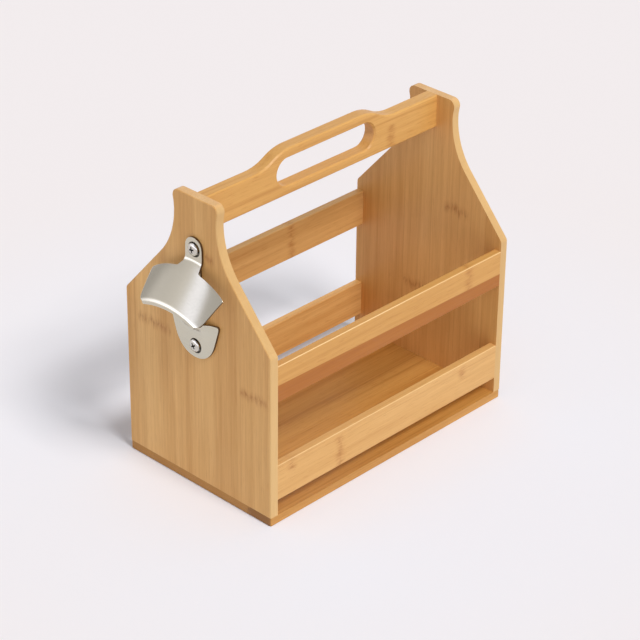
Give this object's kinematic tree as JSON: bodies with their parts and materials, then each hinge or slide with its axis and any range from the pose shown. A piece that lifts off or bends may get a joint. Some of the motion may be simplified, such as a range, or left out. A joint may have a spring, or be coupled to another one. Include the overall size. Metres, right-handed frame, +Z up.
{
  "type": "bottle caddy",
  "caption": "Bamboo bottle caddy with slatted sides, a raised handle board with a hand-hole, and a steel bottle opener on one end panel.",
  "frame": {"origin": "middle of the base board's underside", "axes": "+X along the length, away from the opener; +Y across, from the front long side to the back; +Z up"},
  "size_m": [0.255, 0.136, 0.227],
  "materials": {
    "base_bamboo": "satin lacquer, grain along the length",
    "panel_bamboo": "satin lacquer, upright laminated strips",
    "slat_bamboo": "satin lacquer, grain along the slat",
    "handle_bamboo": "satin lacquer, grain along the board",
    "dowel_wood": "plain turned dowel",
    "brushed_sheet": "brushed stainless sheet with polished edges",
    "polished_screw": "polished stainless",
    "plated_screw": "zinc plated"
  },
  "bodies": {
    "root": {"base_board": "base_bamboo", "end_panel_opener": "panel_bamboo", "end_panel_plain": "panel_bamboo", "slat_front_lower": "slat_bamboo", "slat_front_upper": "slat_bamboo", "slat_back_lower": "slat_bamboo", "slat_back_upper": "slat_bamboo", "handle_board": "handle_bamboo", "bottle_opener": "brushed_sheet", "opener_screws": "polished_screw", "slat_dowels": "dowel_wood", "handle_dowels": "dowel_wood", "base_screws": "plated_screw"}
  },
  "joints": []
}
